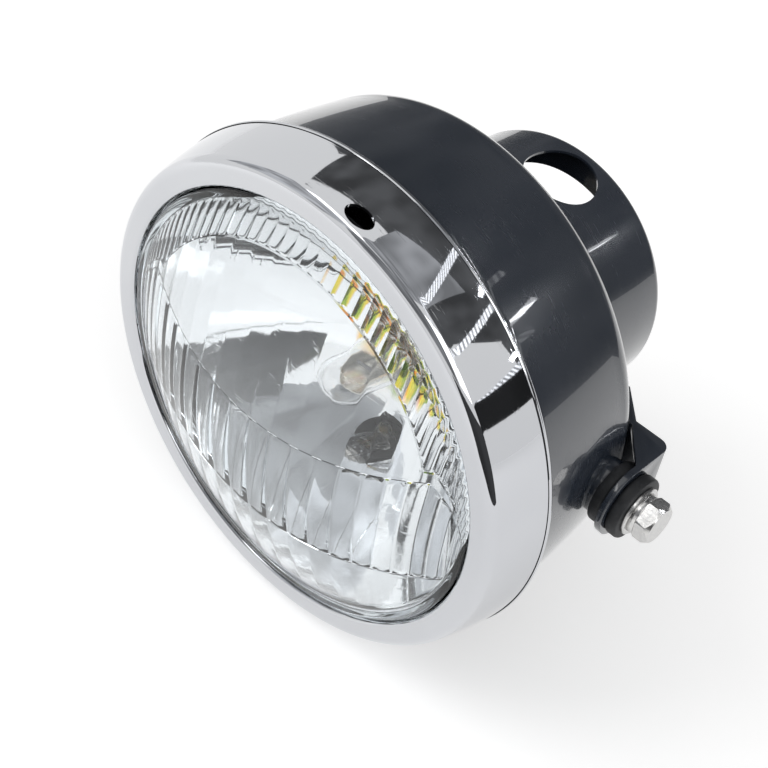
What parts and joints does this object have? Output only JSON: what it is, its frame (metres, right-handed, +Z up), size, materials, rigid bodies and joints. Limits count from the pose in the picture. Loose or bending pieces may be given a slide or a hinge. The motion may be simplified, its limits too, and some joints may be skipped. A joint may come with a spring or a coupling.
{
  "type": "motorcycle headlight",
  "caption": "Round motorcycle headlight: painted steel bucket with a rear cable cup, chromed rim, fluted glass lens, reflector with bulbs, and rubber-mounted side bolts with folded stays.",
  "frame": {"origin": "where the axis of the side bolts crosses the beam axis, which is also the centre of the bounding box", "axes": "the lamp faces -Y, +Z is up, and +X runs along the side bolts' axis to the right as seen from the front"},
  "size_m": [0.212, 0.15, 0.1786],
  "materials": {
    "chrome_rim": "mirror chrome on drawn steel",
    "black_paint": "gloss blue-black paint on steel",
    "lens_glass": "clear pressed glass with vertical flutes behind",
    "mirror_coat": "aluminised mirror under clear lacquer",
    "black_rubber": "moulded black rubber",
    "sealant": "yellowed sealant",
    "zinc_steel": "zinc-plated steel",
    "spring_steel": "plain spring steel",
    "bulb_glass": "clear bulb glass",
    "bulb_metal": "nickel-plated bulb cap",
    "connector_plastic": "off-white moulded nylon"
  },
  "bodies": {
    "root": {"headlight_rim": "chrome_rim", "rim_hook": "zinc_steel", "rim_screw": "zinc_steel", "rim_nut_tab": "zinc_steel", "rim_seal": "black_rubber", "lens": "lens_glass", "lens_gasket": "black_rubber", "lens_sealant": "sealant", "reflector": "mirror_coat", "reflector_clip_1": "spring_steel", "reflector_clip_2": "spring_steel", "reflector_clip_3": "spring_steel", "reflector_clip_4": "spring_steel", "bulb_glass": "bulb_glass", "bulb_cap": "bulb_metal", "bulb_shield": "bulb_metal", "bulb_retainer": "spring_steel", "dust_boot": "black_rubber", "bulb_connector": "connector_plastic", "pilot_glass": "bulb_glass", "pilot_base": "bulb_metal", "pilot_holder": "black_rubber", "bucket_shell": "black_paint", "cable_cup": "black_paint", "side_boss_right": "black_paint", "stay_right": "black_paint", "grommet_right": "black_rubber", "spacer_right": "zinc_steel", "plain_washer_right": "zinc_steel", "spring_washer_right": "zinc_steel", "side_bolt_right": "zinc_steel", "side_boss_left": "black_paint", "stay_left": "black_paint", "grommet_left": "black_rubber", "spacer_left": "zinc_steel", "plain_washer_left": "zinc_steel", "spring_washer_left": "zinc_steel", "side_bolt_left": "zinc_steel"}
  },
  "joints": []
}
